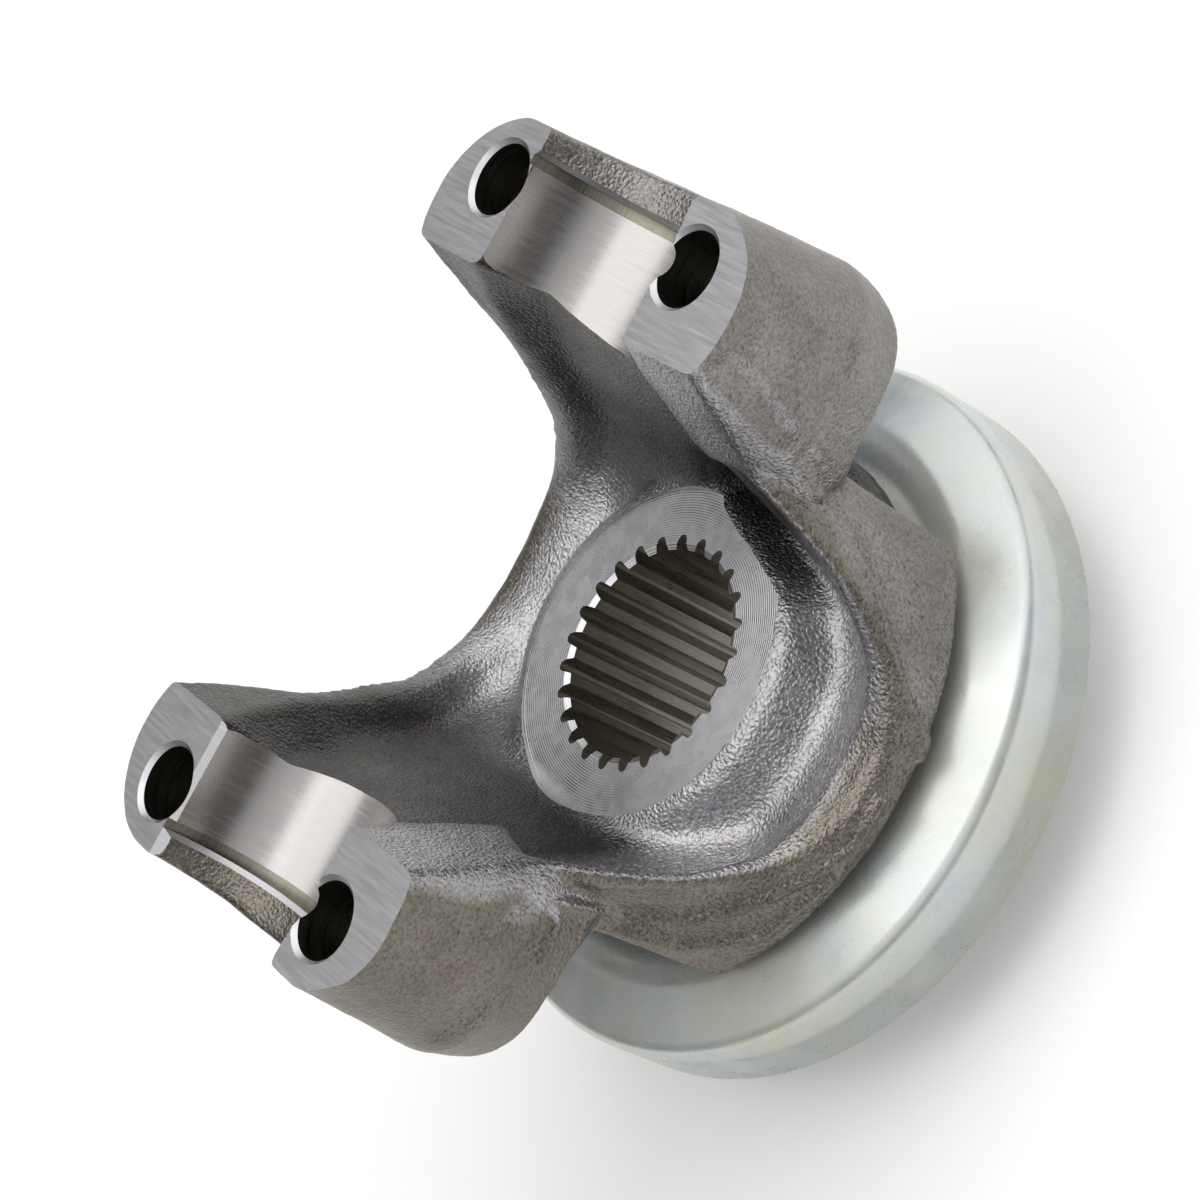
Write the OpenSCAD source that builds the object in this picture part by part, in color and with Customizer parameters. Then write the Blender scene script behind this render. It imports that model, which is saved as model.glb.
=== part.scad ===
// Forged end yoke for a universal joint, with a pressed-on dust shield.
// Z is the hub's axis, and Z = 0 is the plane of the hub's rear end.
// X is the axis of the two bearing caps, which lie in half-round saddles.

/* [Bearing saddles] */
// Diameter of the bearing caps that the saddles hold
cap_d = 27; // [25.5:0.5:28]
// Height of the caps' axis above the hub's rear end
saddle_z = 70; // [69:0.5:73]
// Distance between the locating lips at the outer ends of the two saddles
lip_span = 81.8; // [80:0.2:84]
// Thickness of each lip at the height of the caps' axis
lip_t = 3.2; // [2.6:0.1:4]
// How far each lip stands up from the bottom of its saddle
lip_h = 2.2; // [1.2:0.1:3]
// Width of the relief groove at the foot of each lip
groove_w = 1.2; // [0.8:0.1:1.8]
// Depth of the relief groove
groove_d = 0.7; // [0.4:0.1:1]
// Bevel along the open edges of the saddles
saddle_bevel = 0.8; // [0.4:0.1:1]

/* [Ears] */
// Diameter of the four holes for the U-bolts' legs
hole_d = 8.4; // [7:0.1:9]
// Distance between the holes of one ear and those of the other
hole_span_x = 74; // [73:0.2:75]
// Distance between the two holes of one ear
hole_span_y = 35.8; // [35.4:0.2:38]
// Chamfer at the mouth of each hole
hole_chamfer = 0.5; // [0.2:0.1:0.8]
// Width of each ear along Y
ear_w = 56.4; // [55:0.2:60]
// Thickness of each ear, from its pads to its back
ear_t = 25; // [23:0.5:27]
// Depth of the forging's parting line below the pads, where the ears are widest
parting_drop = 17; // [14:0.5:18]
// Width of each ear along Y at its back, drafted in from the parting line
ear_back_w = 50.6; // [47:0.2:54]
// Radius of an ear's outer corners, seen from above
ear_corner_r = 11; // [9:0.5:12.5]
// Radius of an ear's inner corners, seen from above
ear_inner_r = 7.5; // [5:0.5:9]
// Distance between the inner edges of one ear's pads and those of the other
pad_gap_x = 54; // [53:0.2:55.2]
// Radius of the edge between an ear's end and its back
ear_back_r = 6; // [3:0.5:8]
// Draft of an ear's end face
ear_draft = 6; // [3:0.5:8]
// Diameter of the spot face that each U-bolt nut seats on
nut_seat_d = 16; // [14:0.5:18]
// Depth of that spot face
nut_seat_depth = 0.6; // [0.3:0.1:1.2]

/* [Arms and U] */
// Radius of the U between the arms
u_r = 19.6; // [18.8:0.2:20.4]
// Distance of the U's centre below the caps' axis
u_drop = 20; // [19.5:0.1:20.5]
// Lean of the arms' inner faces, outwards from the hub's axis
arm_lean = 19; // [17:0.5:20]
// Distance between the arms' outer faces where they meet the flange
neck_span = 51.6; // [50:0.2:56]
// Draft of those outer faces
neck_draft = 5; // [3:0.5:8]
// Width of each arm along Y at its neck, where the ear runs into the flange
neck_w = 41.6; // [38:0.2:46]
// Radius of the fillet between an arm and the back of its ear
neck_fillet = 5; // [3:0.5:6]
// How much deeper the pocket between the rims is than the U
pocket_depth = 3.8; // [3:0.2:4.4]

/* [Flange and hub] */
// Radius of the flange at its underside
flange_r = 36.3; // [35:0.1:38]
// Height of the flange's underside above the hub's rear end
flange_z = 25.6; // [25:0.1:26.4]
// Draft of the flange's edge
flange_draft = 9; // [6:0.5:11]
// Bevel round the flange's underside
flange_bevel = 1.2; // [0.6:0.1:2]
// Radius of the dish inside the flange's raised rim
dish_r = 30.7; // [29.6:0.1:31.4]
// Height of the dish's floor above the flange's underside
dish_floor = 3; // [2.4:0.1:3.6]
// Diameter of the spot face that the pinion nut seats on
face_d = 38.2; // [36.4:0.2:39.6]
// Height of that spot face above the hub's rear end
face_z = 34.7; // [34:0.1:35.6]
// Depth of the spot face below the forged collar round it
face_sink = 0.5; // [0.2:0.1:0.8]
// Width of the forged collar round the spot face, at its crest
collar_w = 1.6; // [1.2:0.1:2.2]
// Slope of the collar's outer side, from upright
collar_slope = 30; // [20:1:40]

/* [Splined bore] */
// Number of spline teeth
teeth = 25; // [20:1:30]
// Diameter of the spline's roots
root_d = 27.74; // [26.8:0.02:29]
// Diameter of the spline's tooth tips
tip_d = 24.4; // [23.4:0.1:25.2]
// Share of the tooth pitch that a space takes at the tooth tips
space_at_tip = 0.61; // [0.5:0.01:0.68]
// Share of the tooth pitch that a space takes at the roots
space_at_root = 0.28; // [0.2:0.01:0.4]
// Angle of the first tooth space from the X axis
spline_turn = -39.4; // [-46:0.1:-33]
// How deep the teeth's ends are bevelled at their tips
spline_chamfer = 0.6; // [0.3:0.1:1]
// Width of the bevelled ring that runs on outside the spline's roots
mouth_land = 0.2; // [0.1:0.05:0.4]

/* [Rear journal] */
// Diameter of the ground journal that the oil seal runs on
journal_d = 47.6; // [45:0.1:49]
// Chamfer on the journal's end
journal_chamfer = 1.2; // [0.6:0.1:2]
// Diameter of the register that the shield is pressed over
register_d = 50.8; // [50:0.1:53]
// How far the register reaches past the shield's sheet
register_extra = 1.5; // [0.5:0.1:3]
// Diameter of the shoulder that the shield is pressed up to
shoulder_d = 57.6; // [55:0.2:60]

/* [Dust shield] */
// Outer diameter of the shield's skirt
shield_d = 82.6; // [79:0.2:88]
// Height of the skirt's lower edge above the hub's rear end
rim_z = 9.9; // [8:0.1:12]
// Height of the top of the shield's raised ring above the hub's rear end
ring_z = 22.9; // [22:0.1:24]
// Diameter of the raised ring, at its crest
ring_d = 61.6; // [60.4:0.2:64]
// Drop from the raised ring to the broad face outside it
ring_drop = 1.3; // [0.8:0.1:2]
// Fall of the broad face towards the skirt
face_fall = 0.5; // [0.2:0.1:1]
// Outer radius of the bend between face and skirt
bend_r = 4; // [2.5:0.1:5]
// Thickness of the shield's sheet
sheet_t = 1.5; // [1:0.1:2]

/* [Hidden] */
$fn = 96;

// Angle between the points of the rounded outlines
arc_step = 7.5;
// How far a cutting shape runs past the faces that it opens
past = 5;
// Thickness of the slices that an ear's drafted blank is stretched over
slice_t = 0.2;
// Sides of the round corners of those slices
slice_fn = 32;

cap_r = cap_d / 2;
lip_x = lip_span / 2;
tip_x = lip_x + lip_t;
pad_edge_y = cap_r + saddle_bevel;
ear_back_z = saddle_z - ear_t;
u_z = saddle_z - u_drop;
wall_foot_z = u_z - u_r * sin(arm_lean);
wall_foot_x = u_r * cos(arm_lean);
neck_z = ear_back_z - neck_fillet;
corner_z = ear_back_z + ear_back_r;
parting_z = saddle_z - parting_drop;
widest_x = tip_x + (saddle_z - corner_z) * tan(ear_draft);
dish_z = flange_z + dish_floor;
collar_z = face_z + face_sink;
collar_r = face_d / 2 + collar_w;
half_turn = 180;
quarter_turn = 90;

// Points along an arc of radius r about c, from angle a0 to angle a1
function arc(c, r, a0, a1) =
    let (n = max(1, ceil(abs(a1 - a0) / arc_step)))
    [for (i = [0 : n]) let (a = a0 + (a1 - a0) * i / n) c + r * [cos(a), sin(a)]];

// Points mirrored in the second axis, in the opposite order
function mirrored(points) =
    [for (i = [len(points) - 1 : -1 : 0]) [-points[i].x, points[i].y]];

// Outer side of one arm and ear, seen along Y, from the flange to the pads
function arm_side() =
    let (
        fillet_x = neck_span / 2 + (neck_z - flange_z) * tan(neck_draft)
            + neck_fillet / cos(neck_draft),
        corner_x = widest_x - ear_back_r / cos(ear_draft)
    )
    concat(
        [[neck_span / 2, flange_z]],
        arc([fillet_x, neck_z], neck_fillet, half_turn - neck_draft, quarter_turn),
        arc([corner_x, corner_z], ear_back_r, -quarter_turn, ear_draft),
        [[tip_x, saddle_z]]
    );

// The U between the arms, seen along Y, with its wall moved out by grow
function u_outline(grow) =
    let (
        r = u_r + grow,
        foot = [r * cos(arm_lean), u_z - r * sin(arm_lean)],
        top = saddle_z + past,
        top_x = foot.x + (top - foot.y) * tan(arm_lean)
    )
    concat(
        arc([0, u_z], r, arm_lean - half_turn, -arm_lean),
        [[top_x, top], [-top_x, top]]
    );

// Extrudes an outline drawn in X and Z along Y, to both sides of Y = 0
module along_y(width) {
    translate([0, width / 2, 0])
        rotate([quarter_turn, 0, 0])
            linear_extrude(width) children();
}

// A cylinder along X, centred on the plane X = x
module along_x(x, z, r, length) {
    translate([x - length / 2, 0, z])
        rotate([0, quarter_turn, 0])
            cylinder(r = r, h = length);
}

// Places its children at the four U-bolt holes
module at_holes() {
    for (sx = [-1, 1], sy = [-1, 1])
        translate([sx * hole_span_x / 2, sy * hole_span_y / 2, 0]) children();
}

// A thin slice of an ear with round corners, its top at height z
module ear_slice(z, x_in, x_out, width) {
    for (sy = [-1, 1], corner = [
        [x_in + ear_inner_r, ear_inner_r],
        [x_out - ear_corner_r, ear_corner_r]
    ])
        translate([corner[0], sy * (width / 2 - corner[1]), z - slice_t])
            cylinder(r = corner[1], h = slice_t, $fn = slice_fn);
}

// The drafted block that one ear and its neck are trimmed from
module ear_blank() {
    hull() {
        ear_slice(saddle_z, pad_gap_x / 2, tip_x, ear_w);
        ear_slice(parting_z, wall_foot_x, widest_x, ear_w);
        ear_slice(ear_back_z, wall_foot_x, widest_x, ear_back_w);
        ear_slice(neck_z, wall_foot_x, widest_x, neck_w);
    }
}

// The flange, with its drafted edge and the bevel under it
module flange_blank() {
    rim_top = u_z;
    bevel_z = flange_z + flange_bevel;
    rotate_extrude()
        polygon([
            [0, flange_z],
            [flange_r - flange_bevel, flange_z],
            [flange_r, bevel_z],
            [flange_r - (rim_top - bevel_z) * tan(flange_draft), rim_top],
            [0, rim_top]
        ]);
}

// The hub from its collar down to the rear end of its journal
module hub_blank() {
    foot_r = collar_r + (collar_z - dish_z) * tan(collar_slope);
    rotate_extrude()
        polygon([
            [0, 0],
            [journal_d / 2 - journal_chamfer, 0],
            [journal_d / 2, journal_chamfer],
            [journal_d / 2, ring_z - sheet_t - register_extra],
            [register_d / 2, ring_z - sheet_t - register_extra],
            [register_d / 2, ring_z],
            [shoulder_d / 2, ring_z],
            [shoulder_d / 2, flange_z + dish_floor / 2],
            [foot_r, dish_z],
            [collar_r, collar_z],
            [0, collar_z]
        ]);
}

// The hollow between the rims: two pockets joined by the dish round the hub
module pocket() {
    intersection() {
        along_y(2 * dish_r) polygon(u_outline(pocket_depth));
        translate([0, 0, dish_z]) cylinder(r = dish_r, h = saddle_z);
    }
}

// The forging before any machining
module forging() {
    difference() {
        intersection() {
            union() {
                flange_blank();
                ear_blank();
                mirror([1, 0, 0]) ear_blank();
            }
            along_y(2 * flange_r + past) polygon(concat(arm_side(), mirrored(arm_side())));
        }
        along_y(2 * flange_r + past) polygon(u_outline(0));
        pocket();
    }
    hub_blank();
}

// What the boring head takes out of the two saddles
module saddle_cut() {
    bevel_top = past;
    // The trough above a lip is as wide as the cap where it reaches the pads
    lip_depth = cap_r - lip_h;
    trough_r = (pow(cap_r, 2) + pow(lip_depth, 2)) / (2 * lip_depth);
    along_x(0, saddle_z, cap_r, lip_span);
    for (sx = [-1, 1])
        along_x(sx * (lip_x - groove_w / 2), saddle_z, cap_r + groove_d, groove_w);
    along_x(0, saddle_z + trough_r - lip_depth, trough_r, 2 * widest_x + past);
    // Bevels between the saddles and the pads
    rotate([quarter_turn, 0, quarter_turn])
        linear_extrude(2 * widest_x + past, center = true)
            polygon([
                [-pad_edge_y - bevel_top, saddle_z + bevel_top],
                [-pad_edge_y, saddle_z],
                [-cap_r + saddle_bevel, saddle_z - 2 * saddle_bevel],
                [cap_r - saddle_bevel, saddle_z - 2 * saddle_bevel],
                [pad_edge_y, saddle_z],
                [pad_edge_y + bevel_top, saddle_z + bevel_top]
            ]);
}

// The four U-bolt holes, their chamfered mouths and the nuts' spot faces
module hole_cuts() {
    hole_r = hole_d / 2;
    at_holes() {
        translate([0, 0, ear_back_z - past])
            cylinder(r = hole_r, h = ear_t + 2 * past);
        translate([0, 0, saddle_z - hole_chamfer])
            cylinder(r1 = hole_r, r2 = hole_r + hole_chamfer + past, h = hole_chamfer + past);
        translate([0, 0, ear_back_z - past])
            cylinder(d = nut_seat_d, h = past + nut_seat_depth);
    }
}

// Outline of the splined bore: every tooth space is a tapered slot
function spline_outline() =
    let (
        pitch = 360 / teeth,
        at_tip = pitch * space_at_tip / 2,
        at_root = pitch * space_at_root / 2
    )
    [for (i = [0 : teeth - 1], corner = [
        [tip_d / 2, -at_tip], [root_d / 2, -at_root], [root_d / 2, at_root], [tip_d / 2, at_tip]
    ])
        let (a = spline_turn + i * pitch + corner[1])
        corner[0] * [cos(a), sin(a)]];

// The cone that bevels the teeth's ends, from the face at z = 0 downwards
module spline_bevel() {
    tip_r = tip_d / 2;
    mouth_r = root_d / 2 + mouth_land;
    reach = mouth_r - tip_r;
    translate([0, 0, -2 * spline_chamfer])
        cylinder(r1 = tip_r - reach, r2 = mouth_r + reach, h = 3 * spline_chamfer);
}

// The splined bore, with its teeth bevelled at both ends
module spline_cut() {
    translate([0, 0, -past])
        linear_extrude(face_z + 2 * past) polygon(spline_outline());
    translate([0, 0, face_z]) spline_bevel();
    mirror([0, 0, 1]) spline_bevel();
}

module forged_yoke() {
    color("dimgray")
        difference() {
            forging();
            saddle_cut();
            hole_cuts();
            translate([0, 0, face_z]) cylinder(d = face_d, h = past);
            spline_cut();
        }
}

// Upper side of the shield's sheet, from the register out to the bend,
// and then down the skirt, moved inwards by depth
function shield_side(depth) =
    let (
        r = shield_d / 2,
        face_z0 = ring_z - ring_drop,
        face_z1 = face_z0 - face_fall,
        step = ring_drop
    )
    concat(
        [
            [register_d / 2, ring_z - depth],
            [ring_d / 2 - step / 2 - depth / 2, ring_z - depth],
            [ring_d / 2 + step / 2 - depth / 2, face_z0 - depth]
        ],
        arc([r - bend_r, face_z1 - bend_r], bend_r - depth, quarter_turn, 0),
        [[r - depth, rim_z]]
    );

module dust_shield() {
    inner = shield_side(sheet_t);
    color("lightsteelblue")
        rotate_extrude()
            polygon(concat(
                shield_side(0),
                [for (i = [len(inner) - 1 : -1 : 0]) inner[i]]
            ));
}

forged_yoke();
dust_shield();
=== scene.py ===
"""Looks for a forged end yoke and its dust shield.

The forging is made as it is in the works: a drafted blank with rounded edges is shaped first,
its skin is roughened, and cutters then machine the pads, saddles, holes, hub face, spline and
journal. Shapes are modelled in millimetres in the row's frame and scaled to metres at the end.
"""

import math

import bmesh
import bpy
from mathutils import Matrix, Vector, noise
from mathutils.geometry import intersect_point_line


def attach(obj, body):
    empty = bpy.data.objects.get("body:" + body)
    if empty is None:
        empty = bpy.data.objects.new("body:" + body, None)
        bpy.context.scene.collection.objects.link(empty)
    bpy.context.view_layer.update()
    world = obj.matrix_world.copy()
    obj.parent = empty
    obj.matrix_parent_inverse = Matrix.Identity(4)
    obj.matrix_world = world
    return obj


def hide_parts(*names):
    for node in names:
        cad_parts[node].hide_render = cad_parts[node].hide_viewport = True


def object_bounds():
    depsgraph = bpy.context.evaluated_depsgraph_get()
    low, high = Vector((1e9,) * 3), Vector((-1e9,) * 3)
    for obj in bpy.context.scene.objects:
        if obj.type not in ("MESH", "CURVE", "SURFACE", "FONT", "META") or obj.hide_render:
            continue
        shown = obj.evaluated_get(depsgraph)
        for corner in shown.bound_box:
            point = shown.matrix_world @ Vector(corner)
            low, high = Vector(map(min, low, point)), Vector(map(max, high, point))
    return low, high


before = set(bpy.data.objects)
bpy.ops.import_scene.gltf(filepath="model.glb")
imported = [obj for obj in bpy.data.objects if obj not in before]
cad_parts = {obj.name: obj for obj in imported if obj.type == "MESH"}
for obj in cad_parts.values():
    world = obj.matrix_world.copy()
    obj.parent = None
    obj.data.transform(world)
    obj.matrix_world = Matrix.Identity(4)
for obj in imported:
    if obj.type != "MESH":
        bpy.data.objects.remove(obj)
cad_low, cad_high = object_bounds()

MM = 0.001

# Sizes in millimetres, as the solids have them: saddles, lips and holes
SADDLE_Z = cad_high.z / MM
CAP_R = 13.5
LIP_X = 40.9
LIP_T = 3.2
LIP_H = 2.2
GROOVE_W = 1.2
GROOVE_D = 0.7
HOLE_R = 4.2
HOLE_X = 37.0
HOLE_Y = 17.9
HOLE_CHAMFER = 0.5
# Ears and necks
EAR_W = 56.4
EAR_T = 25.0
PARTING_Z = SADDLE_Z - 17.0
EAR_BACK_W = 50.6
NECK_W = 41.6
EAR_CORNER_R = 11.0
EAR_INNER_R = 7.5
PAD_X = 27.0
EAR_BACK_R = 6.0
EAR_DRAFT = math.radians(6)
NUT_SEAT_R = 8.0
NUT_SEAT_DEPTH = 0.6
U_R = 19.6
U_Z = SADDLE_Z - 20.0
ARM_LEAN = math.radians(19)
NECK_X = 25.8
NECK_DRAFT = math.radians(5)
NECK_FILLET = 5.0
EAR_BACK_Z = SADDLE_Z - EAR_T
TIP_X = LIP_X + LIP_T
CORNER_Z = EAR_BACK_Z + EAR_BACK_R
WIDEST_X = TIP_X + (SADDLE_Z - CORNER_Z) * math.tan(EAR_DRAFT)
NECK_Z = EAR_BACK_Z - NECK_FILLET
# Flange, hollow and hub
POCKET_DEPTH = 3.8
FLANGE_R = 36.3
FLANGE_Z = 25.6
FLANGE_DRAFT = math.radians(9)
DISH_R = 30.7
DISH_Z = FLANGE_Z + 3.0
FACE_R = 19.1
FACE_Z = 34.7
COLLAR_Z = 35.2
COLLAR_R = 20.7
COLLAR_SLOPE = math.radians(30)
# Spline, rear journal and shield
TEETH = 25
ROOT_R = 13.87
TIP_R = 12.2
SPLINE_TURN = math.radians(-39.4)
JOURNAL_R = 23.8
JOURNAL_CHAMFER = 1.2
REGISTER_R = 25.4
SHOULDER_R = 28.8
SHIELD_R = 41.3
RIM_Z = 9.9
RING_Z = 22.9
SHEET_T = 1.5
REGISTER_Z = RING_Z - SHEET_T - 1.5

# Stock that milling takes off the pads, and stock that turning takes off the hub's rear
STOCK = 1.6
TURNING_STOCK = 0.8
# The pads' inner edges lean out by this much over their stock
PAD_LEAN = 0.4
# Cutters run past the part by PAST, or reach out to REACH from the middle or across it by WIDE
PAST = 6.0
REACH = 60.0
WIDE = 90.0
# Two surfaces that would coincide are kept apart by this
APART = 0.05
# The far side of each ear came out of the dies a little narrower than the near side
FAR_SHORT = 1.2
EAR_INNER_FAR_R = EAR_INNER_R - 1
# The flange's blank runs on beside the arms up to this height, and narrows by this much
FLANGE_TOP = 56.0
FLANGE_TAPER = 0.8
# Where the hollow's near bowl meets its pockets, and the radii of its near and far wall
NEAR_CREASE_Y = -13.4
NEAR_BOWL_R = 32.4
FAR_BOWL_R = 30.2
# The bowl's wall draws in by this much above its fillet
BOWL_WAIST = 1.2
VOXEL = 0.55
# Flat sides of the round cutters: at the saddles and journal, round the hub and on the shield
SADDLE_STEPS = 160
HUB_STEPS = 128
SHIELD_STEPS = 192
# The trough over each saddle, seen along X: an arc through the saddle's edges, whose bottom lies
# LIP_H above the saddle's
TROUGH_DEPTH = CAP_R - LIP_H
TROUGH_R = (CAP_R**2 + TROUGH_DEPTH**2) / (2 * TROUGH_DEPTH)
TROUGH_Z = SADDLE_Z + TROUGH_R - TROUGH_DEPTH
# The wedge that the low collar lacks on one side, as X and Z, its reach along Y, and its turn
LOW_SIDE = [(16.9, 34.9), (20.6, 30.4), (21.8, 30.4), (21.8, 41), (16.9, 41)]
LOW_SIDE_Y = (-17, 9)
LOW_SIDE_TURN = math.radians(-19.3)
# One side of a tooth space to the other: share of the pitch, and share of the depth from the tips
TOOTH_SPACE = [
    (-0.305, 0.0), (-0.20, 0.62), (-0.12, 0.9), (0, 1.0), (0.12, 0.9), (0.20, 0.62), (0.305, 0.0)
]
# How often each region of the skin is smoothed
SMOOTH_ALL = 9
SMOOTH_HOLLOW = 70
SMOOTH_RIM = 60
SMOOTH_FAR = 16
# Waves, scale and blasting marks in the skin: length and height
SKIN_WAVES = [(7.0, 0.16), (2.6, 0.07), (1.2, 0.04)]
# The parting line at +X on the near flank. The band from it to the rim stands as a step: its
# height, its reach above and below the line, and the two corners between which it lies
RIGHT_PARTING = [
    (24.2, -25.5, 47.5), (22.1, -25.7, 41.4), (19.1, -28.4, 38.4), (15.2, -31.2, 34.8),
    (10.7, -33.7, 31.0), (7.1, -35.4, 26.1),
]
BAND_HEIGHT = 0.7
BAND_ABOVE = 5.0
BAND_BELOW = 0.8
BAND_LOW = (5, -REACH, 25)
BAND_HIGH = (28, -22, 52)
# Low ridges and creases on the near flank, where the dies met and the flash was trimmed, each with
# its height, half width and points
FLANK_LINES = [
    # The ridge along the hollow's near rim, from the arm at +X round to the one at -X
    (0.45, 1.5, [
        (22.2, -24.5, 53.5), (21.2, -26.1, 48.1), (18.3, -28.5, 41.9), (14.0, -30.4, 36.2),
        (8.5, -31.3, 32.0), (-0.9, -31.1, 30.5), (-7.1, -31.2, 31.4), (-13.4, -30.2, 35.3),
        (-16.8, -29.0, 39.5), (-21.3, -26.1, 47.4), (-23.6, -25.6, 53.2),
    ]),
    # Two parting lines at -X, and the one at +X
    (0.95, 1.1, [
        (-24.9, -26.4, 50.9), (-23.8, -24.1, 41.1), (-20.6, -27.9, 35.8), (-15.4, -31.7, 32.0),
        (-9.6, -34.3, 29.2), (-6.3, -35.4, 27.8),
    ]),
    (0.9, 1.1, [
        (-25.9, -22.3, 41.2), (-24.0, -25.5, 32.9), (-18.9, -30.4, 28.3), (-10.1, -34.5, 27.4),
        (-0.3, -35.8, 28.1),
    ]),
    (0.3, 0.9, RIGHT_PARTING),
    # Creases beside that parting line and on the ear at +X
    (-0.4, 1.8, [
        (26.5, -27.4, 51.8), (24.8, -24.1, 43.7), (21.7, -26.2, 40.0), (17.1, -29.9, 36.8)
    ]),
    (-0.4, 2.2, [
        (38.0, -27.7, 54.9), (34.4, -28.1, 53.7), (30.7, -28.1, 53.0), (27.1, -27.8, 52.6)
    ]),
    (-0.6, 2.6, [(30.4, -28.0, 67.0), (29.2, -27.9, 61.6), (27.4, -27.7, 56.6)]),
    # Creases and a ridge on the ear at -X
    (-0.4, 2.4, [
        (-27.3, -27.7, 52.2), (-31.5, -28.2, 53.7), (-33.8, -28.1, 53.0), (-37.4, -27.8, 54.7),
        (-41.6, -25.9, 56.0),
    ]),
    (-0.4, 2.4, [
        (-32.3, -28.2, 68.7), (-31.1, -28.2, 63.4), (-29.2, -28.0, 59.1), (-26.3, -27.3, 56.3)
    ]),
    (0.9, 1.5, [(-26.5, -27.2, 51.2), (-28.6, -27.2, 50.7), (-30.7, -27.2, 50.3)]),
]


def arc(centre, radius, start, end, step=math.radians(6)):
    """Points along an arc, from angle start to angle end."""
    count = max(1, math.ceil(abs(end - start) / step))
    return [
        (
            centre[0] + radius * math.cos(start + (end - start) * i / count),
            centre[1] + radius * math.sin(start + (end - start) * i / count),
        )
        for i in range(count + 1)
    ]


def link_object(name, data):
    """Puts an object of that name and data in the scene."""
    obj = bpy.data.objects.new(name, data)
    bpy.context.scene.collection.objects.link(obj)
    return obj


def new_object(name, bm):
    """Turns a bmesh into an object of that name."""
    mesh = bpy.data.meshes.new(name)
    bm.to_mesh(mesh)
    bm.free()
    return link_object(name, mesh)


def prism(outline, place, depth):
    """A closed bmesh: the outline's points put in space by place, then extruded by depth."""
    bm = bmesh.new()
    face = bm.faces.new([bm.verts.new(place(*point)) for point in outline])
    made = bmesh.ops.extrude_face_region(bm, geom=[face])
    moved = [v for v in made["geom"] if isinstance(v, bmesh.types.BMVert)]
    bmesh.ops.translate(bm, verts=moved, vec=depth)
    bmesh.ops.recalc_face_normals(bm, faces=bm.faces)
    return bm


def revolve(profile, steps=96):
    """A closed bmesh: the (radius, z) profile, closed or with both ends on the hub's axis, spun."""
    bm = bmesh.new()
    verts = [bm.verts.new((r, 0, z)) for r, z in profile]
    ends = list(zip(verts, verts[1:]))
    if profile[0][0] > 0:
        ends.append((verts[-1], verts[0]))
    edges = [bm.edges.new(pair) for pair in ends]
    bmesh.ops.spin(
        bm, geom=verts + edges, cent=(0, 0, 0), axis=(0, 0, 1), angle=2 * math.pi,
        steps=steps, use_merge=True,
    )
    bmesh.ops.remove_doubles(bm, verts=bm.verts, dist=1e-4)
    bmesh.ops.dissolve_degenerate(bm, edges=bm.edges, dist=1e-4)
    bmesh.ops.recalc_face_normals(bm, faces=bm.faces)
    return bm


def box(low, high):
    """A closed bmesh box between two corners."""
    bm = bmesh.new()
    bmesh.ops.create_cube(bm, size=1.0)
    low, high = Vector(low), Vector(high)
    bmesh.ops.scale(bm, verts=bm.verts, vec=high - low)
    bmesh.ops.translate(bm, verts=bm.verts, vec=(low + high) / 2)
    return bm


def rods(specs, axis, segments=96):
    """Cylinders or cones along an axis, each from the centre of its first end, the radius there,
    the radius at the other end, and its length."""
    bm = bmesh.new()
    turn = {"X": Matrix.Rotation(math.pi / 2, 4, "Y"), "Z": Matrix.Identity(4)}[axis]
    for start, first_r, last_r, length in specs:
        place = Matrix.Translation(start) @ turn @ Matrix.Translation((0, 0, length / 2))
        bmesh.ops.create_cone(
            bm, cap_ends=True, segments=segments, radius1=first_r, radius2=last_r, depth=length,
            matrix=place,
        )
    bmesh.ops.recalc_face_normals(bm, faces=bm.faces)
    return bm


def along_y(outline, width):
    """An outline drawn in X and Z, extruded along Y to both sides."""
    return prism(outline, lambda x, z: (x, -width / 2, z), (0, width, 0))


def apply_modifiers(obj):
    """Makes the shape that the modifiers give the object's own mesh."""
    graph = bpy.context.evaluated_depsgraph_get()
    mesh = bpy.data.meshes.new_from_object(obj.evaluated_get(graph))
    obj.modifiers.clear()
    old = obj.data
    obj.data = mesh
    bpy.data.meshes.remove(old)


def combine(obj, bm, operation, material=None):
    """Joins, cuts or trims the object with a second shape, whose faces bring their material."""
    tool = new_object("tool", bm)
    if material:
        tool.data.materials.append(material)
    modifier = obj.modifiers.new("combine", "BOOLEAN")
    modifier.operation = operation
    modifier.solver = "EXACT"
    modifier.object = tool
    modifier.material_mode = "TRANSFER"
    apply_modifiers(obj)
    mesh = tool.data
    bpy.data.objects.remove(tool)
    bpy.data.meshes.remove(mesh)


def trimmed(bm, *others):
    """The part of a closed shape that lies inside all the others, as a bmesh."""
    obj = new_object("trimmed", bm)
    for other in others:
        combine(obj, other, "INTERSECT")
    bm = bmesh.new()
    bm.from_mesh(obj.data)
    bpy.data.objects.remove(obj)
    return bm


def flange_blank():
    """The drafted disc round the hub, which runs on beside the arms."""
    neck_r = FLANGE_R - (NECK_Z - FLANGE_Z) * math.tan(FLANGE_DRAFT)
    return revolve([
        (0, FLANGE_Z), (FLANGE_R, FLANGE_Z), (neck_r, NECK_Z),
        (neck_r - FLANGE_TAPER, FLANGE_TOP), (0, FLANGE_TOP),
    ])


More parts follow.
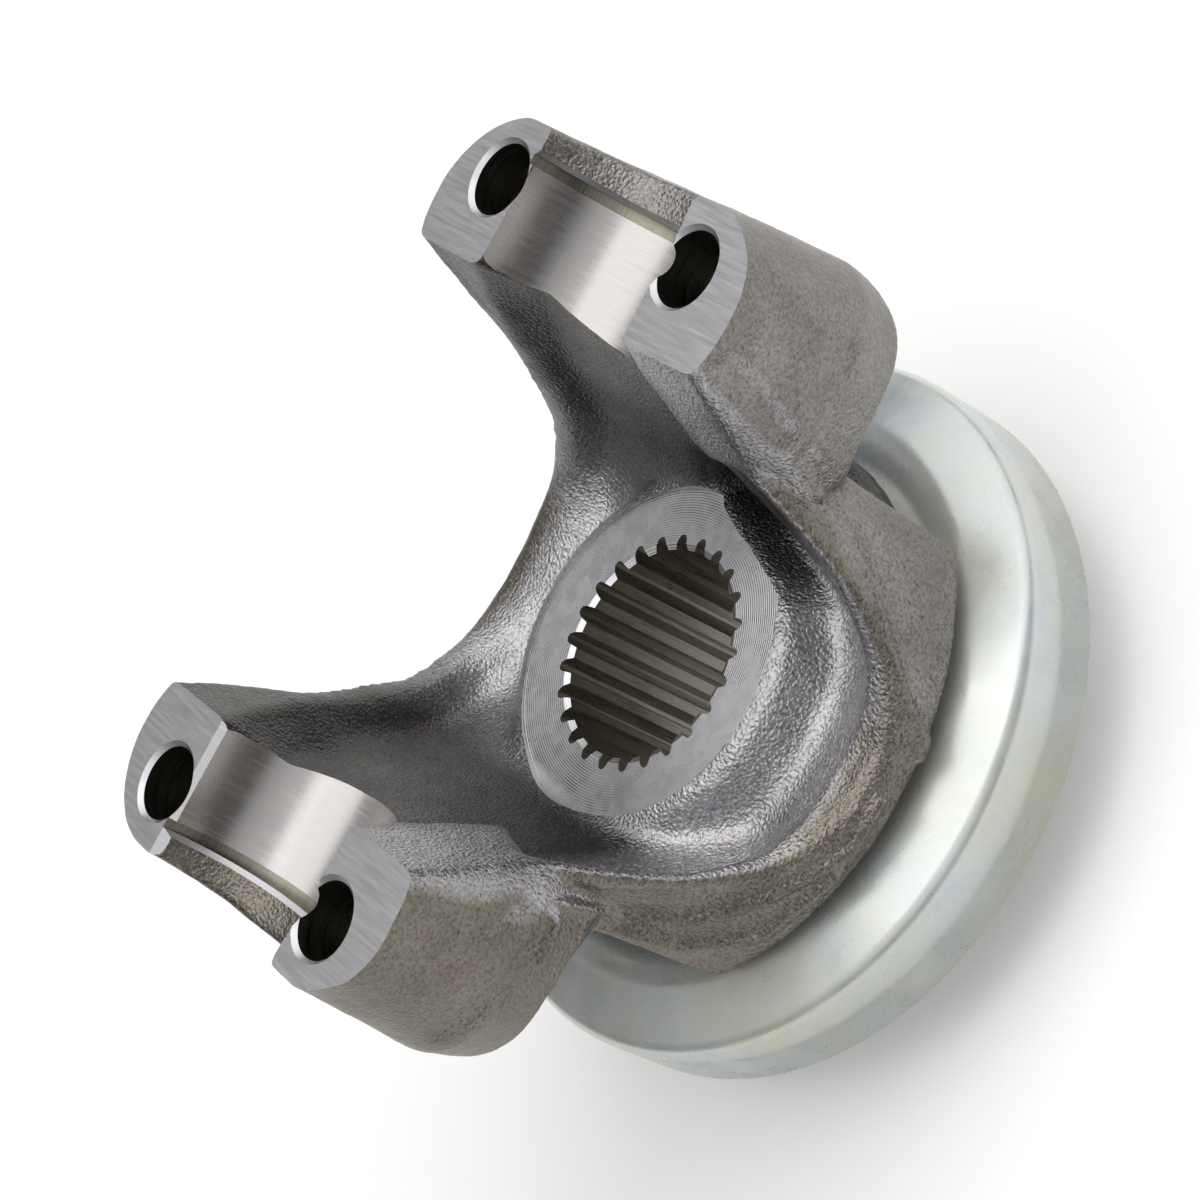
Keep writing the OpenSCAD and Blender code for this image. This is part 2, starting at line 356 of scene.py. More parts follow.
def arm_side():
    """Outer side of one arm and ear, seen along Y, from the flange to the pads."""
    lean = (NECK_Z - FLANGE_Z) * math.tan(NECK_DRAFT)
    fillet_x = NECK_X + lean + NECK_FILLET / math.cos(NECK_DRAFT)
    corner_x = WIDEST_X - EAR_BACK_R / math.cos(EAR_DRAFT)
    top_x = TIP_X - STOCK * math.tan(EAR_DRAFT)
    return (
        [(NECK_X, FLANGE_Z)]
        + arc((fillet_x, NECK_Z), NECK_FILLET, math.pi - NECK_DRAFT, math.pi / 2)
        + arc((corner_x, CORNER_Z), EAR_BACK_R, -math.pi / 2, EAR_DRAFT)
        + [(top_x, SADDLE_Z + STOCK)]
    )


def u_outline(grow):
    """The U between the arms, seen along Y, with its wall moved out by grow."""
    r = U_R + grow
    foot = (r * math.cos(ARM_LEAN), U_Z - r * math.sin(ARM_LEAN))
    top = SADDLE_Z + PAST
    top_x = foot[0] + (top - foot[1]) * math.tan(ARM_LEAN)
    return arc((0, U_Z), r, ARM_LEAN - math.pi, -ARM_LEAN) + [(top_x, top), (-top_x, top)]


def wall_x(z):
    """Distance of the U's wall from the hub's axis at height z, above the U's round bottom."""
    foot_z = U_Z - U_R * math.sin(ARM_LEAN)
    return U_R * math.cos(ARM_LEAN) + max(0.0, z - foot_z) * math.tan(ARM_LEAN)


def ear_blank(side):
    """The drafted block that one ear and its neck are trimmed from."""
    bm = bmesh.new()
    slices = [
        (SADDLE_Z + STOCK, PAD_X + PAD_LEAN, TIP_X, EAR_W),
        (PARTING_Z, wall_x(PARTING_Z), WIDEST_X, EAR_W),
        (EAR_BACK_Z, wall_x(EAR_BACK_Z), WIDEST_X, EAR_BACK_W),
        (NECK_Z, wall_x(NECK_Z), WIDEST_X, NECK_W),
    ]
    for z, x_in, x_out, width in slices:
        for sy, short, inner_r in ((-1, 0.0, EAR_INNER_R), (1, FAR_SHORT, EAR_INNER_FAR_R)):
            for x, r in ((x_in + inner_r, inner_r), (x_out - EAR_CORNER_R, EAR_CORNER_R)):
                place = Matrix.Translation((side * x, sy * (width / 2 - short - r), z))
                bmesh.ops.create_circle(bm, cap_ends=False, radius=r, segments=48, matrix=place)
    made = bmesh.ops.convex_hull(bm, input=bm.verts)
    loose = [v for v in made["geom_interior"] if isinstance(v, bmesh.types.BMVert)]
    bmesh.ops.delete(bm, geom=loose, context="VERTS")
    bmesh.ops.recalc_face_normals(bm, faces=bm.faces)
    return bm


def pocket_shape():
    """The part of the hollow over both arms and behind the hub."""
    top = SADDLE_Z + PAST
    return trimmed(
        revolve([
            (0, DISH_Z), (FAR_BOWL_R - 4, DISH_Z + 0.6), (FAR_BOWL_R, DISH_Z + 4),
            (FAR_BOWL_R + 1, top), (0, top),
        ]),
        along_y(u_outline(POCKET_DEPTH), 2 * DISH_R + PAST),
        box((-REACH, NEAR_CREASE_Y, 0), (REACH, REACH, top + PAST)),
    )


def bowl_shape():
    """The deeper part of the hollow, a bowl round the near side of the hub."""
    top = SADDLE_Z + PAST
    waist_r = NEAR_BOWL_R - BOWL_WAIST
    near_side = [
        (-50, 0), (PAST, 0), (PAST, U_Z - PAST), (NEAR_CREASE_Y, U_Z + 1), (-50, U_Z + 14)
    ]
    return trimmed(
        revolve([
            (0, DISH_Z), (NEAR_BOWL_R - 6, DISH_Z + 0.8), (NEAR_BOWL_R - 1, DISH_Z + 2.6),
            (NEAR_BOWL_R, DISH_Z + 8), (waist_r, U_Z), (waist_r, top), (0, top),
        ]),
        along_y(u_outline(POCKET_DEPTH - 2 * APART), 2 * FLANGE_R + PAST),
        prism(near_side, lambda y, z: (-REACH, y, z), (2 * REACH, 0, 0)),
    )


def trough_shape(side):
    """The forged trough over one saddle, whose near side widens towards the hub."""
    widening = 1.12
    fully_from_y = 9
    bm = bmesh.new()
    loops = []
    for x, spread in ((WIDEST_X + PAST, 1.0), (PAD_X - 8, widening)):
        place = Matrix.Translation((side * x, 0, TROUGH_Z)) @ Matrix.Rotation(math.pi / 2, 4, "Y")
        ring = bmesh.ops.create_circle(
            bm, cap_ends=True, radius=TROUGH_R, segments=96, matrix=place
        )["verts"]
        for v in ring:
            if v.co.y < 0:
                v.co.y *= 1 + (spread - 1) * min(1.0, -v.co.y / fully_from_y)
        loops += [edge for edge in bm.edges if all(v in ring for v in edge.verts)]
    bmesh.ops.bridge_loops(bm, edges=loops)
    bmesh.ops.recalc_face_normals(bm, faces=bm.faces)
    return bm


def hub_blank():
    """The hub: a forged collar in front, and turning stock on journal, register and shoulder."""
    foot_r = COLLAR_R + (COLLAR_Z - DISH_Z) * math.tan(COLLAR_SLOPE)
    journal_r = JOURNAL_R + TURNING_STOCK
    register_r = REGISTER_R + TURNING_STOCK
    shoulder_r = SHOULDER_R + TURNING_STOCK
    return revolve([
        (0, -TURNING_STOCK), (journal_r, -TURNING_STOCK),
        (journal_r, REGISTER_Z), (register_r, REGISTER_Z),
        (register_r, RING_Z - TURNING_STOCK), (shoulder_r, RING_Z - TURNING_STOCK),
        (shoulder_r, FLANGE_Z + 1.5), (foot_r, DISH_Z), (COLLAR_R, COLLAR_Z), (0, COLLAR_Z),
    ])


def low_side_shape():
    """The wedge that the collar lacks on one side, so that the spot face ends in a chord."""
    low_y, high_y = LOW_SIDE_Y
    bm = prism(LOW_SIDE, lambda x, z: (x, low_y, z), (0, high_y - low_y, 0))
    bmesh.ops.transform(bm, matrix=Matrix.Rotation(LOW_SIDE_TURN, 4, "Z"), verts=bm.verts)
    return bm


def forging_blank():
    """The forging before any machining, with sharp edges."""
    blank = new_object("forged_yoke_skin", flange_blank())
    for side in (1, -1):
        combine(blank, ear_blank(side), "UNION")
    outside = arm_side()
    outside += [(-x, z) for x, z in reversed(outside)]
    combine(blank, along_y(outside, WIDE), "INTERSECT")
    combine(blank, along_y(u_outline(0), WIDE), "DIFFERENCE")
    combine(blank, pocket_shape(), "DIFFERENCE")
    combine(blank, bowl_shape(), "DIFFERENCE")
    for side in (-1, 1):
        combine(blank, trough_shape(side), "DIFFERENCE")
    combine(blank, hub_blank(), "UNION")
    combine(blank, low_side_shape(), "DIFFERENCE")
    return blank


def blend(low, high, value):
    """Runs smoothly from 0 to 1 as the value goes from low to high."""
    t = min(1.0, max(0.0, (value - low) / (high - low)))
    return t * t * (3 - 2 * t)


def soften(obj, repeat, weight):
    """Smooths the mesh, each point by its weight."""
    group = obj.vertex_groups.new(name="soft")
    for v in obj.data.vertices:
        group.add([v.index], weight(v.co), "REPLACE")
    smooth = obj.modifiers.new("smooth", "SMOOTH")
    smooth.factor = 0.5
    smooth.iterations = repeat
    smooth.vertex_group = group.name
    apply_modifiers(obj)
    obj.vertex_groups.clear()


def hollow_weight(co):
    """1 inside the hollow's walls from above its floor to the arms, where the dies have fillets."""
    inside_walls = blend(NEAR_BOWL_R + 1, NEAR_BOWL_R - 2, math.hypot(co.x, co.y))
    return inside_walls * blend(FLANGE_Z + 0.8, FLANGE_Z + 2.4, co.z) * blend(56, 46, co.z)


def rim_weight(co):
    """1 along the U's near and far edge at its bottom, which are worn round."""
    above = blend(FLANGE_Z + 1, FLANGE_Z + 3.5, co.z)
    middle = blend(14.5, 11, abs(co.x))
    return blend(27, 31, math.hypot(co.x, co.y)) * above * middle * blend(42, 35, co.z)


def far_weight(co):
    """1 on the far side below the ears, whose rim runs in a smooth curve."""
    return blend(12, 17, co.y) * blend(62, 54, co.z)


def forge_skin(obj):
    """Rounds the blank's edges as a forging die does, and gives it an even mesh."""
    remesh = obj.modifiers.new("remesh", "REMESH")
    remesh.mode = "VOXEL"
    remesh.voxel_size = VOXEL
    apply_modifiers(obj)
    soften(obj, SMOOTH_ALL, lambda co: 1.0)
    soften(obj, SMOOTH_HOLLOW, hollow_weight)
    soften(obj, SMOOTH_RIM, rim_weight)
    soften(obj, SMOOTH_FAR, far_weight)


def gaps_to(points, co):
    """For each part of the line through the points, the vector from its nearest point to co."""
    for start, end in zip(points, points[1:]):
        share = intersect_point_line(co, start, end)[1]
        yield co - start.lerp(end, min(1.0, max(0.0, share)))


def raise_skin(obj, low, high, height, share):
    """Moves the skin between two corners outward by the height, times the share at each point."""
    moves = [
        (v, v.normal * height * share(v.co))
        for v in obj.data.vertices
        if all(low[i] < v.co[i] < high[i] for i in range(3))
    ]
    for v, move in moves:
        v.co += move


def mark_flank(obj):
    """Raises the ridges and sinks the creases of FLANK_LINES in the skin."""
    for height, half_width, places in FLANK_LINES:
        points = [Vector(place) for place in places]
        low = [min(point[i] for point in points) - half_width for i in range(3)]
        high = [max(point[i] for point in points) + half_width for i in range(3)]

        def share(co):
            return blend(half_width, 0, min(gap.length for gap in gaps_to(points, co)))

        raise_skin(obj, low, high, height, share)


def raise_rim_band(obj):
    """Lifts the band between the near rim and the parting line at +X, as the dies left it."""
    points = [Vector(place) for place in RIGHT_PARTING]
    up_side = Vector((-0.75, 0, 0.65))

    def share(co):
        distance, side = min((gap.length, gap.dot(up_side)) for gap in gaps_to(points, co))
        return blend(BAND_ABOVE if side > 0 else BAND_BELOW, 0, distance)

    raise_skin(obj, BAND_LOW, BAND_HIGH, BAND_HEIGHT, share)


def roughen_skin(obj):
    """Moves the skin by the shallow waves and pits that dies, scale and shot blasting leave."""
    normals = [v.normal.copy() for v in obj.data.vertices]
    for v, normal in zip(obj.data.vertices, normals):
        v.co += normal * sum(noise.noise(v.co / length) * height for length, height in SKIN_WAVES)


def spline_outline():
    """Outline of the splined bore: every tooth space is a tapered slot with a round bottom."""
    pitch = 2 * math.pi / TEETH
    points = []
    for i in range(TEETH):
        middle = SPLINE_TURN + i * pitch
        for share, deep in TOOTH_SPACE:
            r = TIP_R + (ROOT_R - TIP_R) * deep
            angle = middle + share * pitch
            points.append((r * math.cos(angle), r * math.sin(angle)))
    return points


def turned_rear():
    """Everything that the lathe and the grinder take off round the hub's rear."""
    under_flange = FLANGE_Z - 0.5
    return revolve(
        [
            (0, 0), (JOURNAL_R - JOURNAL_CHAMFER, 0), (JOURNAL_R, JOURNAL_CHAMFER),
            (JOURNAL_R, REGISTER_Z), (REGISTER_R, REGISTER_Z), (REGISTER_R, RING_Z),
            (SHOULDER_R, RING_Z), (SHOULDER_R, under_flange), (REACH, under_flange),
            (REACH, -PAST), (0, -PAST),
        ],
        SADDLE_STEPS,
    )


def lip_relief(low_x, high_x):
    """The near end of one lip, which is bored away almost to the cap's radius."""
    r = CAP_R - APART
    bore = rods([((-REACH, 0, SADDLE_Z), r, r, 2 * REACH)], "X", SADDLE_STEPS)
    near_end = box((-REACH, -20, SADDLE_Z - 12), (REACH, -10.6, SADDLE_Z + PAST))
    return trimmed(bore, near_end, box((low_x, -20, 0), (high_x, 20, WIDE)))


def machine(obj):
    """Cuts everything that a machine tool has cut on the real yoke."""
    sides = (-1, 1)

    def at_holes(z, first_r, last_r, length):
        holes = [(sx * HOLE_X, sy * HOLE_Y) for sx in sides for sy in sides]
        return rods([((x, y, z), first_r, last_r, length) for x, y in holes], "Z")

    groove_r = CAP_R + GROOVE_D
    # The grooves reach a little past the bored saddles' ends, so that no two end faces coincide
    groove_x = LIP_X - GROOVE_W / 2 + 0.03
    grooves = [
        ((sx * groove_x - GROOVE_W / 2, 0, SADDLE_Z), groove_r, groove_r, GROOVE_W) for sx in sides
    ]
    bevel = 0.6
    lip_bevels = [
        ((LIP_X - APART, 0, TROUGH_Z), TROUGH_R + bevel, TROUGH_R, bevel + APART),
        ((-LIP_X - bevel, 0, TROUGH_Z), TROUGH_R, TROUGH_R + bevel, bevel + APART),
    ]
    # The far edge of the lower saddle has a bevel, drawn here in Y and Z
    far_edge = [(12.7, SADDLE_Z - 1.7), (14.1, SADDLE_Z), (14.6, SADDLE_Z + 4), (11, SADDLE_Z + 4)]
    far_bevel = prism(far_edge, lambda y, z: (-REACH, y, z), (REACH - PAD_X + 4, 0, 0))
    mouth = 0.35
    spline_mouths = [
        ((0, 0, FACE_Z - mouth), TIP_R, TIP_R + 2 * mouth, mouth + 0.01),
        ((0, 0, -1), ROOT_R + 1.9, TIP_R, 1.6),
    ]
    behind_ears = EAR_BACK_Z - PAST
    cone = 1.5
    saddles = [((-LIP_X, 0, SADDLE_Z), CAP_R, CAP_R, 2 * LIP_X)]
    cuts = [
        ("milled", box((-REACH, -WIDE / 2, SADDLE_Z), (REACH, WIDE / 2, SADDLE_Z + 20))),
        ("bored", rods(saddles, "X", SADDLE_STEPS)),
        # The grooves take the dark drilled steel as painted shade along them
        ("drilled_and_groove_shade", rods(grooves, "X", SADDLE_STEPS)),
        ("milled", rods(lip_bevels, "X", SADDLE_STEPS)),
        ("bored", lip_relief(-REACH, -LIP_X + 1)),
        ("bored", lip_relief(LIP_X - 1, REACH)),
        ("milled", far_bevel),
        ("milled", at_holes(behind_ears, NUT_SEAT_R, NUT_SEAT_R, PAST + NUT_SEAT_DEPTH)),
        ("drilled_and_groove_shade", at_holes(behind_ears, HOLE_R, HOLE_R, EAR_T + 2 * PAST)),
        ("milled", at_holes(SADDLE_Z - HOLE_CHAMFER, HOLE_R, HOLE_R + cone, cone)),
        ("turned", rods([((0, 0, FACE_Z), FACE_R, FACE_R, 8)], "Z", HUB_STEPS)),
        ("ground", turned_rear()),
        ("broached", prism(spline_outline(), lambda x, y: (x, y, -2), (0, 0, FACE_Z + 4))),
        ("turned", rods(spline_mouths, "Z", HUB_STEPS)),
    ]
    for finish, bm in cuts:
        combine(obj, bm, "DIFFERENCE", steels[finish])
    crisp_edges(obj)


def crisp_edges(obj):
    """Shades the skin smoothly, and every edge that a cutter has left sharp."""
    bm = bmesh.new()
    bm.from_mesh(obj.data)
    for face in bm.faces:
        face.smooth = True
    for edge in bm.edges:
        faces = edge.link_faces
        if len(faces) == 2:
            same = faces[0].material_index == faces[1].material_index
            cut = faces[0].material_index != 0 and edge.calc_face_angle(0.0) > math.radians(25)
            edge.smooth = same and not cut
    bm.to_mesh(obj.data)
    bm.free()


def shield_shape():
    """The shield's sheet: a drawn ring with a flat seat, a sloping face and a straight skirt."""
    bend = 2.2
    slope = math.radians(24)
    seat_r = 34.4
    bend_r = SHIELD_R - bend
    fall = (bend_r + bend * math.sin(slope) - seat_r) * math.tan(slope)
    bend_z = RING_Z - fall - bend * math.cos(slope)
    # The rounded edge of the seat: shares of its reach, and how far it has dropped there
    reach = 0.7
    edge = [(-1, 0), (-0.3, 0.035), (0.3, 0.13)]

    def side(depth):
        top = RING_Z - depth
        corner = bend - depth
        edge_r = seat_r - depth * math.tan(slope / 2)
        return (
            [(REGISTER_R + APART, top)]
            + [(edge_r + reach * share, top - drop) for share, drop in edge]
            + [(edge_r + reach * math.cos(slope), top - reach * math.sin(slope))]
            + arc((bend_r, bend_z), corner, math.pi / 2 - slope, 0)
            + [(SHIELD_R - depth, RIM_Z)]
        )

    return revolve(side(0) + side(SHEET_T)[::-1], SHIELD_STEPS)


def finish_piece(obj, node):
    """Scales a finished piece to metres and hands it to the frame."""
    obj.data.transform(Matrix.Scale(MM, 4))
    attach(obj, "root")
    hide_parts(node)


def linear(hex_colour):
    """An sRGB hex colour as the linear values that a shader socket takes."""
    values = [int(hex_colour[i : i + 2], 16) / 255 for i in (1, 3, 5)]
    values = [v / 12.92 if v <= 0.04045 else ((v + 0.055) / 1.055) ** 2.4 for v in values]
    return (*values, 1.0)


def add_node(tree, kind, inputs=None, output=0, **settings):
    """Adds a node and gives one of its outputs; each input takes a value or another's output."""
    node = tree.nodes.new(kind)
    for name, value in settings.items():
        setattr(node, name, value)
    for name, value in (inputs or {}).items():
        if isinstance(value, bpy.types.NodeSocket):
            tree.links.new(value, node.inputs[name])
        else:
            node.inputs[name].default_value = value
    return node.outputs[output]


def metal(name, roughness):
    """A new metal, its shader, and the object coordinates in millimetres that its patterns read."""
    material = bpy.data.materials.new(name)
    material.use_nodes = True
    tree = material.node_tree
    shader = tree.nodes["Principled BSDF"]
    shader.inputs["Metallic"].default_value = 1.0
    shader.inputs["Roughness"].default_value = roughness
    place = add_node(tree, "ShaderNodeTexCoord", {}, "Object")
    place = add_node(tree, "ShaderNodeMapping", {"Vector": place, "Scale": (1 / MM,) * 3})
    return material, tree, shader, place


def shot_blasted_forging():
    """Shot-blasted forged steel: a dull grey-brown scale skin on the drafted outside, and a bluish
    skin with sparkling pits where the forging faces the hub's axis."""
    material, tree, shader, place = metal("forged_steel_shot_blasted", 0.45)
    # Distance from the hub's axis, and which way the skin faces, tell the hollow from the outside
    flat = add_node(tree, "ShaderNodeVectorMath", {0: place, 1: (1, 1, 0)}, operation="MULTIPLY")
    reach = add_node(tree, "ShaderNodeVectorMath", {0: flat}, "Value", operation="LENGTH")
    side = add_node(tree, "ShaderNodeSeparateXYZ", {0: place}, "X")
    facing = add_node(tree, "ShaderNodeNewGeometry", {}, "Normal")
    facing = add_node(tree, "ShaderNodeSeparateXYZ", {0: facing}, "X")
    sign = add_node(tree, "ShaderNodeMath", {0: side}, operation="SIGN")
    outward = add_node(tree, "ShaderNodeMath", {0: facing, 1: sign}, operation="MULTIPLY")
    wander = add_node(
        tree, "ShaderNodeTexNoise", {"Vector": place, "Scale": 1 / 3.0, "Detail": 2.0}, "Fac"
    )
    reach = add_node(
        tree, "ShaderNodeMath", {0: wander, 1: 3.0, 2: reach}, operation="MULTIPLY_ADD"
    )
    beyond = add_node(
        tree, "ShaderNodeMapRange", {"Value": reach, "From Min": 31.5, "From Max": 34.5}
    )
    outer = add_node(
        tree, "ShaderNodeMapRange", {"Value": outward, "From Min": -0.5, "From Max": -0.25}
    )
    outside = add_node(tree, "ShaderNodeMath", {0: beyond, 1: outer}, operation="MULTIPLY")
    # Scale patches 9 mm across, and a grain of 0.4 mm, which the shot leaves
    patches = add_node(
        tree, "ShaderNodeTexNoise", {"Vector": place, "Scale": 1 / 9.0, "Detail": 3.0}, "Fac"
    )
    patches = add_node(
        tree, "ShaderNodeMapRange", {"Value": patches, "From Min": 0.35, "From Max": 0.65}
    )
    grain = add_node(
        tree, "ShaderNodeTexNoise", {"Vector": place, "Scale": 1 / 0.4, "Detail": 3.0}, "Fac"
    )
    grain = add_node(
        tree, "ShaderNodeMapRange", {"Value": grain, "From Min": 0.35, "From Max": 0.65}
    )
    # Brown scale stayed on the ear at -X and on the near rim, as far as the step in the +X flank
    up = add_node(tree, "ShaderNodeSeparateXYZ", {0: place}, "Z")
    up = add_node(tree, "ShaderNodeMath", {0: up, 1: 45.0}, operation="MINIMUM")
    step = add_node(tree, "ShaderNodeMath", {0: up, 1: -0.8, 2: side}, operation="MULTIPLY_ADD")
    clean = add_node(
        tree, "ShaderNodeMapRange", {"Value": step, "From Min": -14.4, "From Max": -12.8}
    )
    brown = add_node(
        tree, "ShaderNodeMix", {0: patches, 6: linear("#827d74"), 7: linear("#918c84")}, 2,
        data_type="RGBA",
    )
    grey = add_node(
        tree, "ShaderNodeMix", {0: patches, 6: linear("#8d8a88"), 7: linear("#9e9b9a")}, 2,
        data_type="RGBA",
    )
    skin = add_node(tree, "ShaderNodeMix", {0: clean, 6: brown, 7: grey}, 2, data_type="RGBA")
    # The pockets over the arms are painted darker than the bowl round the hub and the near corners:
    # painted shade in the recesses
    along = add_node(tree, "ShaderNodeMath", {0: side}, operation="ABSOLUTE")
    over_arm = add_node(
        tree, "ShaderNodeMapRange", {"Value": along, "From Min": 13.0, "From Max": 20.0}
    )
    across = add_node(tree, "ShaderNodeSeparateXYZ", {0: place}, "Y")
    deep = add_node(
        tree, "ShaderNodeMapRange", {"Value": across, "From Min": -16.5, "From Max": -13.0}
    )
    pocket_painted_shade = add_node(tree, "ShaderNodeMath", {0: over_arm, 1: deep}, operation="MULTIPLY")
    blasted = add_node(
        tree, "ShaderNodeMix", {0: patches, 6: linear("#afaeb2"), 7: linear("#c3c2c7")}, 2,
        data_type="RGBA",
    )
    # This dark colour, named scale, is painted shade for the pockets over the arms
    scale = add_node(
        tree, "ShaderNodeMix", {0: patches, 6: linear("#565452"), 7: linear("#686665")}, 2,
        data_type="RGBA",
    )
    hollow = add_node(tree, "ShaderNodeMix", {0: pocket_painted_shade, 6: blasted, 7: scale}, 2, data_type="RGBA")
    base = add_node(tree, "ShaderNodeMix", {0: outside, 6: hollow, 7: skin}, 2, data_type="RGBA")
    tint = add_node(
        tree, "ShaderNodeMix", {0: grain, 6: linear("#c8c4be"), 7: linear("#ffffff")}, 2,
        data_type="RGBA",
    )
    colour = add_node(
        tree, "ShaderNodeMix", {0: 1.0, 6: base, 7: tint}, 2, data_type="RGBA",
        blend_type="MULTIPLY",
    )
    tree.links.new(colour, shader.inputs["Base Color"])
    gloss = add_node(tree, "ShaderNodeMapRange", {"Value": grain, "To Min": 0.28, "To Max": 0.5})
    tree.links.new(gloss, shader.inputs["Roughness"])
    # Blasted pits 0.3 mm across over lumps of 0.45 mm
    pits = add_node(
        tree, "ShaderNodeTexVoronoi", {"Vector": place, "Scale": 1 / 0.32}, "Distance",
        feature="SMOOTH_F1",
    )
    normal = add_node(tree, "ShaderNodeBump", {"Height": pits, "Distance": 0.12 * MM})
    lumps = add_node(
        tree, "ShaderNodeTexNoise", {"Vector": place, "Scale": 1 / 0.45, "Detail": 3.0}, "Fac"
    )
    normal = add_node(
        tree, "ShaderNodeBump", {"Height": lumps, "Distance": 0.17 * MM, "Normal": normal}
    )
    tree.links.new(normal, shader.inputs["Normal"])
    return material


def cut_steel(name, colour, worn, roughness, pitch, axis, depth, rings=False):
    """Bare steel straight from a cutting tool, whose feed leaves fine lines at the given pitch in
    millimetres: straight ones across the axis, or rings round it."""
    material, tree, shader, place = metal(name, roughness)
    marks = {"wave_type": "RINGS", "rings_direction": axis} if rings else {"bands_direction": axis}
    # A wave texture repeats every 2 pi / 20 units at a scale of 1
    feed = {
        "Vector": place, "Scale": math.pi / (10 * pitch), "Distortion": 0.6, "Detail": 2.0,
        "Detail Scale": 0.4,
    }
    lines = add_node(tree, "ShaderNodeTexWave", feed, "Fac", **marks)
    stretch = (1, 1, 1) if rings else tuple(4.0 if a == axis else 0.25 for a in "XYZ")
    streaks = add_node(tree, "ShaderNodeMapping", {"Vector": place, "Scale": stretch})
    smear = add_node(
        tree, "ShaderNodeTexNoise", {"Vector": streaks, "Scale": 1 / 1.6, "Detail": 3.0}, "Fac"
    )
    smear = add_node(
        tree, "ShaderNodeMapRange", {"Value": smear, "From Min": 0.3, "From Max": 0.7}
    )
    tone = add_node(
        tree, "ShaderNodeMix", {0: smear, 6: linear(colour), 7: linear(worn)}, 2, data_type="RGBA"
    )
    tree.links.new(tone, shader.inputs["Base Color"])
    gloss = add_node(
        tree,
        "ShaderNodeMapRange",
        {"Value": smear, "To Min": roughness - 0.05, "To Max": roughness + 0.07},
    )
    tree.links.new(gloss, shader.inputs["Roughness"])
    normal = add_node(tree, "ShaderNodeBump", {"Height": lines, "Distance": depth * MM})
    tree.links.new(normal, shader.inputs["Normal"])
    return material


def bright_zinc_plate():
    """Zinc plate with a clear blue chromate on drawn sheet: satin to glossy, and cloudy, faintly
    blue and yellow."""
    material, tree, shader, place = metal("zinc_plate_blue_chromate", 0.3)
    # The chromate film is slightly milky
    shader.inputs["Metallic"].default_value = 0.45
    clouds = add_node(
        tree, "ShaderNodeTexNoise", {"Vector": place, "Scale": 1 / 14.0, "Detail": 3.0}, "Fac"
    )
    clouds = add_node(
        tree, "ShaderNodeMapRange", {"Value": clouds, "From Min": 0.35, "From Max": 0.65}
    )
    tones = add_node(
        tree, "ShaderNodeTexNoise", {"Vector": place, "Scale": 1 / 5.0, "Detail": 4.0}, "Fac"
    )
    tones = add_node(
        tree, "ShaderNodeMapRange", {"Value": tones, "From Min": 0.3, "From Max": 0.7}
    )
    cool = add_node(
        tree, "ShaderNodeMix", {0: tones, 6: linear("#c6cfd5"), 7: linear("#dae0e0")}, 2,
        data_type="RGBA",
    )
    colour = add_node(
        tree, "ShaderNodeMix", {0: clouds, 6: cool, 7: linear("#d3d4c6")}, 2, data_type="RGBA"
    )
    tree.links.new(colour, shader.inputs["Base Color"])
    gloss = add_node(tree, "ShaderNodeMapRange", {"Value": tones, "To Min": 0.22, "To Max": 0.36})
    tree.links.new(gloss, shader.inputs["Roughness"])
    # Shallow waves of the drawn sheet, 9 mm long, fine plating grain and handling scratches
    waves = add_node(
        tree, "ShaderNodeTexNoise", {"Vector": place, "Scale": 1 / 9.0, "Detail": 1.0}, "Fac"
    )
    normal = add_node(tree, "ShaderNodeBump", {"Height": waves, "Distance": 0.12 * MM})
    grain = add_node(
        tree, "ShaderNodeTexNoise", {"Vector": place, "Scale": 1 / 0.7, "Detail": 3.0}, "Fac"
    )
    normal = add_node(
        tree, "ShaderNodeBump", {"Height": grain, "Distance": 0.006 * MM, "Normal": normal}
    )
    long_way = add_node(tree, "ShaderNodeMapping", {"Vector": place, "Scale": (0.06, 1.0, 1.0)})
    scratches = add_node(
        tree, "ShaderNodeTexNoise", {"Vector": long_way, "Scale": 2.0, "Detail": 3.0}, "Fac"
    )
    scratches = add_node(
        tree, "ShaderNodeMapRange", {"Value": scratches, "From Min": 0.66, "From Max": 0.72}
    )
    normal = add_node(
        tree, "ShaderNodeBump", {"Height": scratches, "Distance": 0.0012 * MM, "Normal": normal}
    )
    tree.links.new(normal, shader.inputs["Normal"])
    return material


# After each roughness comes the pitch of the feed marks in mm, at most twice the real one so that
# they show, then the axis and the marks' depth
steels = {
    # A face mill leaves the pads satin, with shallow parallel lines
    "milled": cut_steel("steel_face_milled", "#c6c5c8", "#d1d0d2", 0.36, 0.4, "X", 0.0016),
    # The boring head leaves rings round the cap's axis, polished where the caps sit
    "bored": cut_steel("steel_fine_bored", "#a4a2a2", "#adaaa7", 0.24, 0.25, "X", 0.001),
    # The drill leaves the holes darker, with traces of cutting oil
    # Drilled steel is darker and more olive than the other cut steel; in the grooves beside the
    # lips this darker colour is painted shade, which shows them as dark lines
    "drilled_and_groove_shade": cut_steel("steel_drilled_and_groove_shade", "#77746a", "#8c887d", 0.3, 0.4, "Z", 0.004),
    # The lathe's facing cut leaves fine circles round the hub's axis
    "turned": cut_steel("steel_turned", "#bdbcbe", "#c7c6c8", 0.26, 0.3, "Z", 0.022, rings=True),
    # Grinding leaves the seal's running surface bright and very smooth
    "ground": cut_steel("steel_ground", "#b8b8ba", "#c4c4c6", 0.16, 0.3, "Z", 0.0005),
    # The broach leaves straight marks along the teeth, dark with oil
    "broached": cut_steel("steel_broached", "#a5a198", "#c0bcb3", 0.3, 0.5, "X", 0.006),
}

